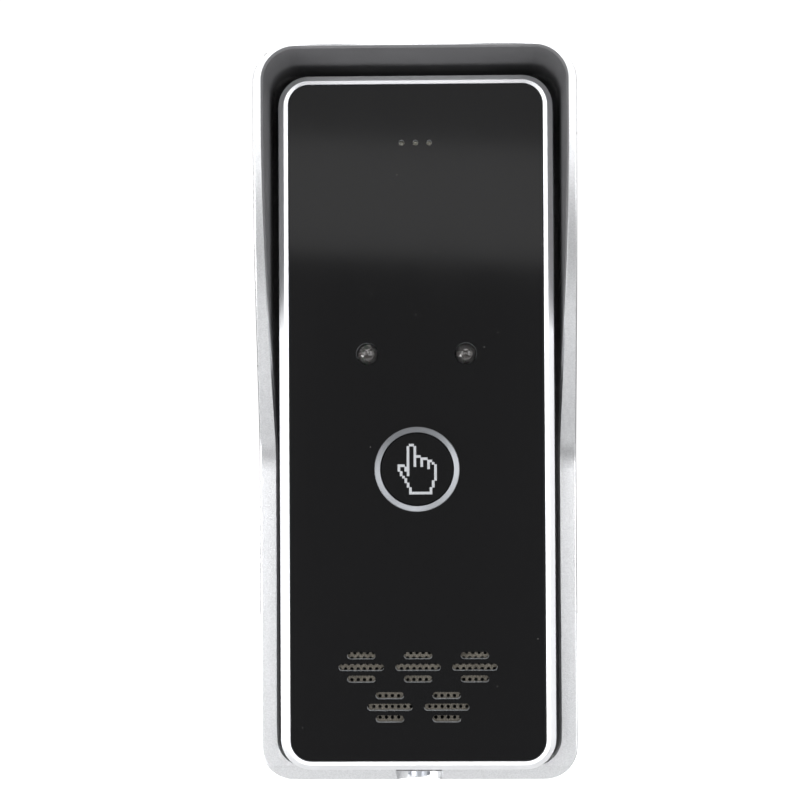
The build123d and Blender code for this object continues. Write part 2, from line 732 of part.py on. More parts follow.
def mic_capsule():
    """The microphone can."""
    return disc(CAPSULE_RADIUS, CAPSULE_DEPTHS, 0, MIC_Z)


def mic_boot():
    """The rubber boot that seals the microphone to the deck."""
    back, front = BOOT_DEPTHS
    pocket_back, pocket_front = CAPSULE_DEPTHS
    boot = disc(BOOT_RADIUS, BOOT_DEPTHS, 0, MIC_Z)
    boot -= disc(CAPSULE_RADIUS + CAPSULE_CLEARANCE, CAPSULE_DEPTHS, 0, MIC_Z)
    boot -= disc(BOOT_MOUTH_RADIUS, (pocket_front, front), 0, MIC_Z)
    return boot - disc(BOOT_TAIL_RADIUS, (back, pocket_back), 0, MIC_Z)


def mic_felt():
    """The pale acoustic felt just behind the three small holes."""
    return disc(FELT_RADIUS - FELT_CLEARANCE, FELT_DEPTHS, 0, MIC_Z)


# --- Speaker -----------------------------------------------------------------------------------
def speaker_grille():
    """The perforated metal sheet behind the slots."""
    return plate(GRILLE_SIZE, GRILLE_RADIUS, GRILLE_DEPTHS, 0, SPEAKER_Z)


def speaker_gasket():
    """The foam ring between the speaker and the deck."""
    depths = (BASKET_DEPTHS[1], GASKET_FRONT)
    inner = disc(BASKET_RADIUS - GASKET_WIDTH, depths, 0, SPEAKER_Z)
    return disc(BASKET_RADIUS, depths, 0, SPEAKER_Z) - inner


def speaker_basket():
    """The speaker's pressed frame."""
    back, front = BASKET_DEPTHS
    basket = disc(BASKET_RADIUS, BASKET_DEPTHS, 0, SPEAKER_Z)
    floor = back + BASKET_SHEET
    bowl = [
        (0, floor),
        (BASKET_FLOOR_RADIUS, floor),
        (BASKET_MOUTH_RADIUS, front - BASKET_SHEET),
        (BASKET_MOUTH_RADIUS, front),
        (0, front),
    ]
    basket -= turned(bowl, 0, SPEAKER_Z)
    return basket - disc(BASKET_VENT_RADIUS, (back, floor), 0, SPEAKER_Z)


def speaker_magnet():
    """The speaker's magnet."""
    return disc(MAGNET_RADIUS, (MAGNET_BACK, BASKET_DEPTHS[0]), 0, SPEAKER_Z)


def speaker_cone():
    """The thin cone with its dust cap and voice coil, which moves to and fro."""
    outline = [
        (0, 23.6),
        (2.4, 23.3),
        (4.2, 22.7),
        (4.2, 20.9),
        (4.6, 20.9),
        (4.6, 22.5),
        (13.3, 24.9),
        (13.6, 24.9),
        (13.6, 25.15),
        (13.2, 25.15),
        (4.4, 22.9),
        (2.6, 23.55),
        (0, 23.85),
    ]
    return turned(outline, 0, SPEAKER_Z)


NODES = {
    "rain_hood": rain_hood,
    "cable_grommet": cable_grommet,
    "lock_screw": lock_screw,
    "bezel_frame": bezel_frame,
    "front_panel": front_panel,
    "panel_tape": panel_tape,
    "front_housing": front_housing,
    "rear_housing": rear_housing,
    "housing_seal": housing_seal,
    "housing_screws": housing_screws,
    "main_board": main_board,
    "board_screws": board_screws,
    "audio_chips": audio_chips,
    "capacitors": capacitors,
    "terminal_block": terminal_block,
    "terminal_screws": terminal_screws,
    "speaker_connector": speaker_connector,
    "tact_switch": tact_switch,
    "switch_stem": switch_stem,
    "button_ring": button_ring,
    "button_cap": button_cap,
    "hand_icon": hand_icon,
    "led_left": lambda: led(-LED_X),
    "led_right": lambda: led(LED_X),
    "led_holders": led_holders,
    "mic_capsule": mic_capsule,
    "mic_boot": mic_boot,
    "mic_felt": mic_felt,
    "speaker_grille": speaker_grille,
    "speaker_gasket": speaker_gasket,
    "speaker_basket": speaker_basket,
    "speaker_magnet": speaker_magnet,
    "speaker_cone": speaker_cone,
}

os.makedirs("parts", exist_ok=True)
for node, make in NODES.items():
    export_step(make(), f"parts/{node}.step")
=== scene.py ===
import logging
import math
from dataclasses import dataclass, field
from enum import Enum
from typing import Any, Iterable, Sequence

import bmesh
import bpy
from mathutils import Matrix, Vector


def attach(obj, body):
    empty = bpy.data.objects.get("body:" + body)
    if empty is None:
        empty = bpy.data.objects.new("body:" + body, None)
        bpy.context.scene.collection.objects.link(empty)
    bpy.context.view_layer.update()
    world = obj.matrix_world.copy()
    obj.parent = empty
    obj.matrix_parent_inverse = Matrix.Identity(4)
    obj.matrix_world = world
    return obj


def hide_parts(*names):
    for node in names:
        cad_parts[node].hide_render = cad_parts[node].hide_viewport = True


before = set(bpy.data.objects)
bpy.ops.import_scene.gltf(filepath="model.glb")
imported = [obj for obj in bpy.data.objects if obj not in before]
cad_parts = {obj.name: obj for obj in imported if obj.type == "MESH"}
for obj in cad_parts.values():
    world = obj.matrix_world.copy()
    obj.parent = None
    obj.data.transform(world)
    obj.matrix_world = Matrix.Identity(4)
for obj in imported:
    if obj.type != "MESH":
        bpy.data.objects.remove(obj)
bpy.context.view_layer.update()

# The look of a door intercom panel: an upright door station in a painted rain hood.
# The frame is the CAD's: metres, +Z up, the wall is Y = 0 and the visitor stands at -Y.
# Sizes in the classes are in millimetres and depths are distances out from the wall.

log = logging.getLogger("door_station")
MM = 0.001
Point = tuple[float, float]
Spot = tuple[float, float, float]


class Body(Enum):
    """The moving and fixed bodies of the station."""

    STATION = "station"
    CALL_BUTTON = "call_button"
    SWITCH_PLUNGER = "switch_plunger"
    SPEAKER_DIAPHRAGM = "speaker_diaphragm"


# --- Colour and nodes -----------------------------------------------------------------------------
def linear(hex_colour: str) -> tuple[float, float, float, float]:
    """Turns an sRGB hex colour into a linear one.

    Args:
        hex_colour: six hex digits with a leading hash.

    Returns:
        Linear red, green, blue and an alpha of one.
    """
    channels = [int(hex_colour[start : start + 2], 16) / 255 for start in (1, 3, 5)]
    red, green, blue = [c / 12.92 if c <= 0.04045 else ((c + 0.055) / 1.055) ** 2.4 for c in channels]
    return (red, green, blue, 1.0)


def add_node(
    tree: bpy.types.NodeTree, kind: str, inputs: dict[Any, Any] | None = None, **settings: Any
) -> bpy.types.Node:
    """Adds a node with its settings, values and links.

    Args:
        tree: the node tree that it goes into.
        kind: the node's type name.
        inputs: for each socket name or number, a value or the socket to link from.
        **settings: the node's own properties.

    Returns:
        The new node.
    """
    node = tree.nodes.new(kind)
    for name, value in settings.items():
        setattr(node, name, value)
    for key, value in (inputs or {}).items():
        if isinstance(value, bpy.types.NodeSocket):
            tree.links.new(value, node.inputs[key])
        else:
            node.inputs[key].default_value = value
    return node


def pattern_scale(size_mm: float) -> float:
    """The scale of a texture whose features repeat every so many millimetres."""
    return 1.0 / (size_mm * MM)


@dataclass(frozen=True)
class Finish:
    """What all finishes share: a name, and the start and end of their node tree."""

    name: str

    def tree(self) -> bpy.types.NodeTree:
        """Makes the material with an empty tree.

        Returns:
            The material's node tree.
        """
        material = bpy.data.materials.new(self.name)
        material.use_nodes = True
        material.node_tree.nodes.clear()
        return material.node_tree

    def place(self, tree: bpy.types.NodeTree) -> bpy.types.NodeSocket:
        """The object's own coordinates, in metres."""
        return add_node(tree, "ShaderNodeTexCoord").outputs["Object"]

    def noise(
        self, tree: bpy.types.NodeTree, place: bpy.types.NodeSocket, size_mm: float, **more: Any
    ) -> bpy.types.NodeSocket:
        """Cloudy variation whose lumps are a given size.

        Args:
            tree: the material's tree.
            place: the coordinates.
            size_mm: the size of one lump.
            **more: other inputs of the noise, by name.

        Returns:
            The noise's value, from 0 to 1.
        """
        inputs = {"Vector": place, "Scale": pattern_scale(size_mm), "Detail": 3.0}
        inputs.update({name.replace("_", " "): value for name, value in more.items()})
        return add_node(tree, "ShaderNodeTexNoise", inputs).outputs["Fac"]

    def spread(
        self, tree: bpy.types.NodeTree, value: bpy.types.NodeSocket, low: float, high: float, **ends: float
    ) -> bpy.types.NodeSocket:
        """Maps a value from one range to another.

        Args:
            tree: the material's tree.
            value: the value to map.
            low: what the range starts at.
            high: what the range ends at.
            **ends: From_Min and From_Max, when they aren't 0 and 1.

        Returns:
            The mapped value.
        """
        inputs = {"Value": value, "To Min": low, "To Max": high}
        inputs.update({name.replace("_", " "): end for name, end in ends.items()})
        return add_node(tree, "ShaderNodeMapRange", inputs).outputs["Result"]

    def blend(
        self, tree: bpy.types.NodeTree, share: Any, first: Any, second: Any
    ) -> bpy.types.NodeSocket:
        """A colour between two colours.

        Args:
            tree: the material's tree.
            share: how much of the second colour there is.
            first: the first colour or socket.
            second: the second colour or socket.

        Returns:
            The mixed colour.
        """
        mix = add_node(tree, "ShaderNodeMix", {0: share, 6: first, 7: second}, data_type="RGBA")
        return mix.outputs[2]

    def fronting(self, tree: bpy.types.NodeTree) -> bpy.types.NodeSocket:
        """Measures how squarely the surface faces the front or the wall.

        Args:
            tree: the material's node tree.

        Returns:
            The socket with 1 on faces square to Y and 0 on those along it.
        """
        facing = add_node(tree, "ShaderNodeNewGeometry").outputs["Normal"]
        outward = add_node(tree, "ShaderNodeSeparateXYZ", {"Vector": facing}).outputs["Y"]
        return add_node(tree, "ShaderNodeMath", {0: outward}, operation="ABSOLUTE").outputs[0]

    def bump(
        self, tree: bpy.types.NodeTree, height: bpy.types.NodeSocket, depth_mm: float
    ) -> bpy.types.NodeSocket:
        """A surface normal from a height, whose full range is a given depth."""
        inputs = {"Height": height, "Distance": depth_mm * MM}
        return add_node(tree, "ShaderNodeBump", inputs).outputs["Normal"]

    def finish(self, tree: bpy.types.NodeTree, **inputs: Any) -> bpy.types.Material:
        """Adds the shader and the output.

        Args:
            tree: the material's tree.
            **inputs: the shader's inputs by name, with underscores for spaces.

        Returns:
            The finished material.
        """
        named = {name.replace("_", " "): value for name, value in inputs.items()}
        shader = add_node(tree, "ShaderNodeBsdfPrincipled", named)
        add_node(tree, "ShaderNodeOutputMaterial", {"Surface": shader.outputs["BSDF"]})
        return next(m for m in bpy.data.materials if m.node_tree == tree)

    def build(self) -> bpy.types.Material:
        """Makes the material; each finish has its own."""
        raise NotImplementedError


@dataclass(frozen=True)
class Moulded(Finish):
    """A moulded, pressed or sintered surface: one colour that varies a little, and a fine texture."""

    colour: str
    shade: str
    roughness: tuple[float, float]
    grain_mm: float
    depth_mm: float
    mottle_mm: float = 9.0
    metallic: float = 0.0
    ior: float = 1.5
    sheen: float = 0.0

    def build(self) -> bpy.types.Material:
        """Makes the material."""
        tree = self.tree()
        place = self.place(tree)
        mottle = self.noise(tree, place, self.mottle_mm)
        grain = self.noise(tree, place, self.grain_mm, Detail=2.0)
        colour = self.blend(tree, mottle, linear(self.colour), linear(self.shade))
        inputs = {
            "Base_Color": colour,
            "Roughness": self.spread(tree, mottle, *self.roughness),
            "Normal": self.bump(tree, grain, self.depth_mm),
            "Sheen_Weight": self.sheen,
            "Metallic": self.metallic,
        }
        if not self.metallic:
            inputs["IOR"] = self.ior
        return self.finish(tree, **inputs)


@dataclass(frozen=True)
class Outline:
    """A rounded rectangle that changes size evenly from the wall out to the lip, in millimetres."""

    back: Point
    lip: Point
    back_radius: float
    lip_radius: float
    depths: Point

    def distance(self, tree: bpy.types.NodeTree, place: bpy.types.NodeSocket) -> bpy.types.NodeSocket:
        """How far a point lies outside the outline at its own depth.

        Args:
            tree: the material's tree.
            place: the coordinates.

        Returns:
            The distance in metres, negative inside.
        """
        axes = add_node(tree, "ShaderNodeSeparateXYZ", {"Vector": place})
        start, end = self.depths
        along = add_node(
            tree,
            "ShaderNodeMapRange",
            {"Value": axes.outputs["Y"], "From Min": -start * MM, "From Max": -end * MM},
            clamp=False,
        ).outputs["Result"]

        def at_depth(first: float, last: float) -> bpy.types.NodeSocket:
            """A length that changes evenly with depth."""
            inputs = {0: along, 1: (last - first) * MM, 2: first * MM}
            return add_node(tree, "ShaderNodeMath", inputs, operation="MULTIPLY_ADD").outputs[0]

        radius = at_depth(self.back_radius, self.lip_radius)
        beyond = []
        for axis, first, last in zip("XZ", self.back, self.lip):
            away = add_node(tree, "ShaderNodeMath", {0: axes.outputs[axis]}, operation="ABSOLUTE")
            straight = at_depth(first / 2 - self.back_radius, last / 2 - self.lip_radius)
            inputs = {0: away.outputs[0], 1: straight}
            beyond.append(add_node(tree, "ShaderNodeMath", inputs, operation="SUBTRACT").outputs[0])
        larger = add_node(tree, "ShaderNodeMath", {0: beyond[0], 1: beyond[1]}, operation="MAXIMUM")
        inner = add_node(tree, "ShaderNodeMath", {0: larger.outputs[0], 1: 0.0}, operation="MINIMUM")
        pair = add_node(tree, "ShaderNodeCombineXYZ", {"X": beyond[0], "Y": beyond[1]})
        clipped = add_node(
            tree, "ShaderNodeVectorMath", {0: pair.outputs[0], 1: (0.0, 0.0, 0.0)}, operation="MAXIMUM"
        )
        corner = add_node(tree, "ShaderNodeVectorMath", {0: clipped.outputs[0]}, operation="LENGTH")
        parts = {0: corner.outputs["Value"], 1: inner.outputs[0]}
        whole = add_node(tree, "ShaderNodeMath", parts, operation="ADD").outputs[0]
        return add_node(tree, "ShaderNodeMath", {0: whole, 1: radius}, operation="SUBTRACT").outputs[0]


@dataclass(frozen=True)
class SprayedHood(Finish):
    """Silver flake lacquer sprayed on a black ABS moulding from outside.

    The eye sees a pale satin silver with fine bright flakes outside and round the rim, worn through in a
    few spots on the outer edge, and the bare, finely spark-eroded black moulding inside, painted mid grey
    as painted light.
    """

    silver: str = "#D3D4D6"
    silver_shade: str = "#C4C5C7"
    # The bare black moulding's two tones are painted mid grey, lighter than black ABS, as painted light for
    # the light inside the hood.
    bare_painted_lighter: str = "#606062"
    bare_mottle_painted_lighter: str = "#535355"
    paint_roughness: Point = (0.34, 0.42)
    bare_roughness: float = 0.55
    # Real flakes are about 0.03 mm; drawn at 0.22 mm, the finest that shows.
    flake_mm: float = 0.22
    flake_depth_mm: float = 0.018
    # The orange peel of a sprayed coat.
    peel_mm: float = 1.6
    peel_depth_mm: float = 0.006
    # Spark-eroded texture, about 0.1 mm in reality; drawn at 0.35 mm so that it shows.
    erosion_mm: float = 0.35
    erosion_depth_mm: float = 0.05
    chip_mm: float = 2.6
    chip_width_mm: float = 0.45
    chip_threshold: float = 0.655
    chip_fade: float = 0.015
    # How squarely the rim faces the front, from none of it to all of it counting as rim.
    rim_turn: Point = (0.15, 0.3)
    # Where the spray stops inside, it fades out over this far on either side of the outline.
    overspray_mm: float = 0.04
    mottle_mm: float = 14.0
    inner: Outline = Outline((67.82, 165.9), (70.8, 173.0), 5.9, 7.9, (2.4, 45.0))
    outer: Outline = Outline((79.0, 176.0), (74.5, 174.2), 8.0, 9.0, (0.0, 45.0))

    def build(self) -> bpy.types.Material:
        """Makes the material."""
        tree = self.tree()
        place = self.place(tree)
        edge_fade = self.overspray_mm * MM
        inside = self.inner.distance(tree, place)
        painted = self.spread(tree, inside, 0.0, 1.0, From_Min=-edge_fade, From_Max=edge_fade)

        from_edge = self.outer.distance(tree, place)
        worn_to = -self.chip_width_mm * MM
        near_edge = self.spread(tree, from_edge, 0.0, 1.0, From_Min=worn_to, From_Max=worn_to / 3)
        turn_from, turn_to = self.rim_turn
        rim = self.spread(tree, self.fronting(tree), 0.0, 1.0, From_Min=turn_from, From_Max=turn_to)
        edge = add_node(tree, "ShaderNodeMath", {0: rim, 1: near_edge}, operation="MULTIPLY").outputs[0]
        spots = self.noise(tree, place, self.chip_mm, Detail=5.0)
        worn = add_node(tree, "ShaderNodeMath", {0: spots, 1: edge}, operation="MULTIPLY").outputs[0]
        start = self.chip_threshold
        chips = self.spread(tree, worn, 1.0, 0.0, From_Min=start, From_Max=start + self.chip_fade)
        cover = add_node(tree, "ShaderNodeMath", {0: painted, 1: chips}, operation="MULTIPLY").outputs[0]

        flakes = add_node(
            tree, "ShaderNodeTexVoronoi", {"Vector": place, "Scale": pattern_scale(self.flake_mm)}
        )
        flake = add_node(tree, "ShaderNodeSeparateXYZ", {"Vector": flakes.outputs["Color"]}).outputs["X"]
        silver = self.blend(tree, flake, linear(self.silver), linear(self.silver_shade))
        mottle = self.noise(tree, place, self.mottle_mm)
        # Bare moulding inside, its colour painted mid grey as painted light.
        bare_painted_lighter = self.blend(tree, mottle, linear(self.bare_painted_lighter), linear(self.bare_mottle_painted_lighter))
        colour = self.blend(tree, cover, bare_painted_lighter, silver)

        rough_paint = self.spread(tree, flake, *self.paint_roughness)
        roughs = {0: cover, 2: self.bare_roughness, 3: rough_paint}
        rough = add_node(tree, "ShaderNodeMix", roughs).outputs[0]
        peel = self.bump(tree, self.noise(tree, place, self.peel_mm), self.peel_depth_mm)
        glitter = add_node(
            tree, "ShaderNodeBump", {"Height": flake, "Distance": self.flake_depth_mm * MM, "Normal": peel}
        ).outputs["Normal"]
        eroded = self.bump(tree, self.noise(tree, place, self.erosion_mm), self.erosion_depth_mm)
        normal = add_node(
            tree, "ShaderNodeMix", {0: cover, 4: eroded, 5: glitter}, data_type="VECTOR"
        ).outputs[1]
        return self.finish(tree, Base_Color=colour, Metallic=cover, Roughness=rough, Normal=normal)


@dataclass(frozen=True)
class CastAcrylic(Finish):
    """Black cast acrylic sheet, polished in front and cut through with a laser.

    The eye sees deep black with a clear reflection, a few dust specks and barely visible wipe marks. The
    walls of the openings are frosted by the cut; their pale grey colour is a painted highlight.
    """

    colour: str = "#0A0A0B"
    dust: str = "#5C5A57"
    # The pale grey of the cut walls is a painted highlight on the frosted acrylic.
    cut_wall_painted_highlight: str = "#9A9C9F"
    cut_roughness: float = 0.45
    roughness: Point = (0.055, 0.085)
    dust_spacing_mm: float = 5.5
    dust_size_mm: float = 0.11
    dust_core: float = 0.6
    dust_roughness: float = 0.6
    dust_height_mm: float = 0.02
    wipe_mm: float = 11.0
    wipe_stretch: Spot = (1.0, 1.0, 0.25)
    # How squarely the sheet's faces point forward; the cut walls lie below this.
    wall_turn: Point = (0.2, 0.4)

    def build(self) -> bpy.types.Material:
        """Makes the material."""
        tree = self.tree()
        place = self.place(tree)
        specks = add_node(
            tree, "ShaderNodeTexVoronoi", {"Vector": place, "Scale": pattern_scale(self.dust_spacing_mm)}
        ).outputs["Distance"]
        reach = self.dust_size_mm / self.dust_spacing_mm
        dusty = self.spread(tree, specks, 1.0, 0.0, From_Min=reach * self.dust_core, From_Max=reach)
        stretched = add_node(tree, "ShaderNodeMapping", {"Vector": place, "Scale": self.wipe_stretch})
        wipe = self.noise(tree, stretched.outputs[0], self.wipe_mm, Detail=4.0)
        smooth = self.spread(tree, wipe, *self.roughness)
        turn_from, turn_to = self.wall_turn
        wall = self.spread(tree, self.fronting(tree), 1.0, 0.0, From_Min=turn_from, From_Max=turn_to)
        faces = {0: dusty, 2: smooth, 3: self.dust_roughness}
        polished = add_node(tree, "ShaderNodeMix", faces).outputs[0]
        walls = {0: wall, 2: polished, 3: self.cut_roughness}
        face = self.blend(tree, dusty, linear(self.colour), linear(self.dust))
        return self.finish(
            tree,
            # Cut walls take the painted highlight colour.
            Base_Color=self.blend(tree, wall, face, linear(self.cut_wall_painted_highlight)),
            Roughness=add_node(tree, "ShaderNodeMix", walls).outputs[0],
            IOR=1.49,
            Normal=self.bump(tree, dusty, self.dust_height_mm),
        )


@dataclass(frozen=True)
class SatinAluminium(Finish):
    """Aluminium profile, bead blasted and silver anodised.

    The eye sees an even satin silver with a very fine tooth and soft, wide highlights.
    """

    colour: str = "#E9EAEC"
    shade: str = "#DEDFE2"
    roughness: Point = (0.44, 0.5)
    # Anodising leaves a thin pale oxide that scatters part of the light.
    metallic: float = 0.72
    # Blasting grit is about 0.1 mm; drawn at 0.3 mm so that it shows.
    grit_mm: float = 0.3
    depth_mm: float = 0.006
    cloud_mm: float = 12.0

    def build(self) -> bpy.types.Material:
        """Makes the material."""
        tree = self.tree()
        place = self.place(tree)
        grit = self.noise(tree, place, self.grit_mm, Detail=2.0)
        cloud = self.noise(tree, place, self.cloud_mm)
        return self.finish(
            tree,
            Base_Color=self.blend(tree, cloud, linear(self.colour), linear(self.shade)),
            Metallic=self.metallic,
            Roughness=self.spread(tree, grit, *self.roughness),
            Normal=self.bump(tree, grit, self.depth_mm),
        )


@dataclass(frozen=True)
class TurnedMetal(Finish):
    """Turned or rolled metal with its plating: fine rings or lines left by the tool under a bright coat."""

    colour: str
    shade: str
    roughness: Point
    line_mm: float
    depth_mm: float
    ring_axis: str
    cloud_mm: float = 3.0

    def build(self) -> bpy.types.Material:
        """Makes the material."""
        tree = self.tree()
        place = self.place(tree)
        lines = add_node(
            tree,
            "ShaderNodeTexWave",
            {
                "Vector": place,
                # A wave repeats every pi / 10 units of scaled length.
                "Scale": pattern_scale(self.line_mm) * math.pi / 10,
                "Distortion": 1.5,
                "Detail": 2.0,
                "Detail Scale": 1.5,
            },
            wave_type="BANDS",
            bands_direction=self.ring_axis,
        ).outputs["Fac"]
        cloud = self.noise(tree, place, self.cloud_mm)
        return self.finish(
            tree,
            Base_Color=self.blend(tree, cloud, linear(self.colour), linear(self.shade)),
            Metallic=1.0,
            Roughness=self.spread(tree, cloud, *self.roughness),
            Normal=self.bump(tree, lines, self.depth_mm),
        )


@dataclass(frozen=True)
class SolderMask(Finish):
    """A glass-fibre circuit board under green solder mask.

    The eye sees glossy green, with copper tracks standing out as paler, slightly raised lines.
    """

    mask: str = "#14502A"
    over_copper: str = "#2C7A45"
    track_pitch_mm: float = 2.54
    track_mm: float = 0.35
    track_height_mm: float = 0.03
    cloud_mm: float = 4.0
    roughness: Point = (0.22, 0.32)

    def build(self) -> bpy.types.Material:
        """Makes the material."""
        tree = self.tree()
        place = self.place(tree)
        # Brick courses stand for tracks on a 0.1 inch grid; their rows run along Z.
        turned = add_node(
            tree, "ShaderNodeMapping", {"Vector": place, "Rotation": (math.pi / 2, 0.0, 0.0)}
        ).outputs[0]
        tracks = add_node(
            tree,
            "ShaderNodeTexBrick",
            {
                "Vector": turned,
                "Scale": 1.0,
                "Mortar Size": self.track_mm * MM / 2,
                "Brick Width": 3 * self.track_pitch_mm * MM,
                "Row Height": self.track_pitch_mm * MM,
            },
        ).outputs["Fac"]
        return self.finish(
            tree,
            Base_Color=self.blend(tree, tracks, linear(self.mask), linear(self.over_copper)),
            Roughness=self.spread(tree, self.noise(tree, place, self.cloud_mm), *self.roughness),
            IOR=1.55,
            Normal=self.bump(tree, tracks, self.track_height_mm),
        )


@dataclass(frozen=True)
class CastEpoxy(Finish):
    """Lightly smoked epoxy cast round the lamp's lead frame.

    The eye sees a clear, slightly grey bead with sharp highlights and the frame bent by the lens.
    """

    tint: str = "#B4B0AE"
    clarity: float = 0.95
    roughness: Point = (0.0, 0.015)
    ripple_mm: float = 1.2
    ripple_depth_mm: float = 0.002

    def build(self) -> bpy.types.Material:
        """Makes the material."""
        tree = self.tree()
        place = self.place(tree)
        ripple = self.noise(tree, place, self.ripple_mm)
        return self.finish(
            tree,
            Base_Color=linear(self.tint),
            Transmission_Weight=self.clarity,
            Roughness=self.spread(tree, ripple, *self.roughness),
            IOR=1.54,
            Normal=self.bump(tree, ripple, self.ripple_depth_mm),
        )


@dataclass(frozen=True)
class NeedledFelt(Finish):
    """Thin needled felt of pale wool and polyester.

    The eye sees pale tufts of tangled fibres with darker gaps between them, and no gloss. The near-white of
    the tufts is partly painted light and the dark of the gaps is painted shade, for the patches of light
    and shadow in the holes.
    """

    # The gaps' dark colour is painted shade and the tufts' near-white is partly painted light.
    gap_painted_shade: str = "#5A564B"
    tuft_painted_light: str = "#FFFCEE"
    # Fibres are about 0.03 mm; drawn as tufts of 0.5 mm so that they show through the holes as patches of
    # painted light and painted shade.
    tuft_mm: float = 0.5
    tuft_edges: Point = (0.4, 0.52)
    pile_mm: float = 0.12

    def build(self) -> bpy.types.Material:
        """Makes the material."""
        tree = self.tree()
        place = self.place(tree)
        fibres = self.noise(tree, place, self.tuft_mm, Detail=4.0, Distortion=2.5)
        edge_from, edge_to = self.tuft_edges
        # The tuft mask lays painted light on the tufts and painted shade in the gaps.
        tufts_painted_light_and_shade = self.spread(tree, fibres, 0.0, 1.0, From_Min=edge_from, From_Max=edge_to)
        return self.finish(
            tree,
            Base_Color=self.blend(tree, tufts_painted_light_and_shade, linear(self.gap_painted_shade), linear(self.tuft_painted_light)),
            Roughness=0.95,
            Sheen_Weight=0.4,
            Normal=self.bump(tree, fibres, self.pile_mm),
        )


# Spark-eroded ABS mouldings: a dull black with a fine even tooth.
BLACK_ABS = Moulded("moulded_black_abs", "#303032", "#28282A", (0.48, 0.6), 0.3, 0.03)
# Polished tool steel leaves the switch body and stem smoother than the housings.
SWITCH_PBT = Moulded("moulded_black_pbt", "#202022", "#1A1A1B", (0.35, 0.42), 0.5, 0.006, 3.0, ior=1.57)
# Compression-moulded EPDM: matte, faintly grey, with a dusty bloom.
BLACK_RUBBER = Moulded(
    "moulded_epdm_rubber", "#232325", "#1B1B1C", (0.7, 0.82), 0.4, 0.02, 5.0, ior=1.52, sheen=0.15
)
# Closed-cell polyurethane foam: dark grey with pores of about half a millimetre.
FOAM_TAPE = Moulded(
    "sliced_polyurethane_foam", "#3A3A3C", "#29292B", (0.85, 0.95), 0.5, 0.15, 2.0, sheen=0.1
)
# Transfer-moulded epoxy of the chips: matte black with a fine filler grain.
CHIP_EPOXY = Moulded("moulded_chip_epoxy", "#222224", "#1C1C1D", (0.55, 0.65), 0.25, 0.02, 2.0, ior=1.55)
# Heat-shrunk PVC sleeve round the cans: dark blue with a soft gloss.
CAN_SLEEVE = Moulded("shrunk_pvc_sleeve", "#1C2A4A", "#17233F", (0.25, 0.34), 2.0, 0.01, 6.0, ior=1.53)
# Glass-filled nylon terminal body: mid green, slightly mottled by the glass.
TERMINAL_NYLON = Moulded(
    "moulded_green_nylon", "#2E8A4E", "#26793F", (0.42, 0.5), 0.4, 0.015, 3.0, ior=1.53
)
# Unfilled nylon connector: warm ivory with a soft gloss.
CONNECTOR_NYLON = Moulded(
    "moulded_ivory_nylon", "#DDD8C8", "#D0CAB8", (0.38, 0.46), 0.6, 0.01, 3.0, ior=1.53
)
# Grey ABS of the two-shot hand sign, level with the cap and slightly glossy.
PALE_ABS = Moulded("moulded_pale_abs", "#9B9DA0", "#919396", (0.3, 0.38), 0.5, 0.006, 3.0)
# Sintered ferrite: dark grey, gritty and faintly metallic.
FERRITE = Moulded("sintered_ferrite", "#3B3B3D", "#2F2F31", (0.5, 0.62), 0.3, 0.04, 3.0, ior=1.9)
# Pressed paper pulp with a dark dope: matte with short fibres.
CONE_PULP = Moulded("pressed_paper_pulp", "#29292B", "#1F1F20", (0.75, 0.88), 0.35, 0.06, 2.5, sheen=0.2)
# Rolled zinc-plated steel: bluish grey with soft drawing lines.
ZINC_PLATE = TurnedMetal("zinc_plated_steel", "#B9BCC2", "#A3A7AE", (0.28, 0.4), 0.4, 0.004, "DIAGONAL")
# Zinc die-cast trim ring, turned and satin chromed: a soft steel grey, with tool rings too fine to count.
CHROME_RING = TurnedMetal("satin_chromed_ring", "#84868A", "#787A7D", (0.42, 0.48), 0.3, 0.003, "Y")
# Perforated steel sheet, nickel plated and dulled: dark warm grey with a soft grain from rolling.
NICKEL_SHEET = TurnedMetal("nickel_plated_sheet", "#78746C", "#45423C", (0.22, 0.5), 0.35, 0.006, "X")
# Silver-plated copper of the lamp's lead frame, tarnished: dark pinkish grey.
LEAD_FRAME = TurnedMetal("silver_plated_frame", "#4E4645", "#3C3635", (0.3, 0.42), 0.2, 0.003, "Z")
HOOD_LACQUER = SprayedHood("silver_lacquer_on_abs")
BLACK_ACRYLIC = CastAcrylic("polished_black_acrylic")
BEZEL_ALUMINIUM = SatinAluminium("blasted_anodised_aluminium")
GREEN_BOARD = SolderMask("solder_masked_board")
CLEAR_EPOXY = CastEpoxy("cast_clear_epoxy")
CREAM_FELT = NeedledFelt("needled_cream_felt")


def material_of(finish: Finish) -> bpy.types.Material:
    """The finish's material, made once.

    Args:
        finish: the finish wanted.

    Returns:
        Its material.
    """
    return bpy.data.materials.get(finish.name) or finish.build()


def dress(piece: bpy.types.Object, finish: Finish) -> None:
    """Gives a piece or a carried-over CAD node its finish.

    Args:
        piece: the object to dress.
        finish: what it wears.
    """
    if not piece.material_slots:
        piece.data.materials.append(None)
    for slot in piece.material_slots:
        slot.link = "OBJECT"
        slot.material = material_of(finish)
    log.info("%s wears %s", piece.name, finish.name)


def dress_nodes(finishes: dict[str, Finish]) -> None:
    """Dresses several CAD nodes by name."""
    for node, finish in finishes.items():
        dress(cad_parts[node], finish)


# --- Mesh building --------------------------------------------------------------------------------
def add_piece(name: str, mesh: bpy.types.Mesh, body: Body, finish: Finish) -> bpy.types.Object:
    """Puts a mesh in the scene as a dressed piece that rides on a body.

    Args:
        name: the piece's name.
        mesh: its mesh, in the station's frame.
        body: the body that it moves with.
        finish: its finish.

    Returns:
        The new object.
    """
    piece = bpy.data.objects.new(name, mesh)
    bpy.context.scene.collection.objects.link(piece)
    dress(piece, finish)
    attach(piece, body.value)
    log.info("built %s: %d faces", name, len(mesh.polygons))
    return piece


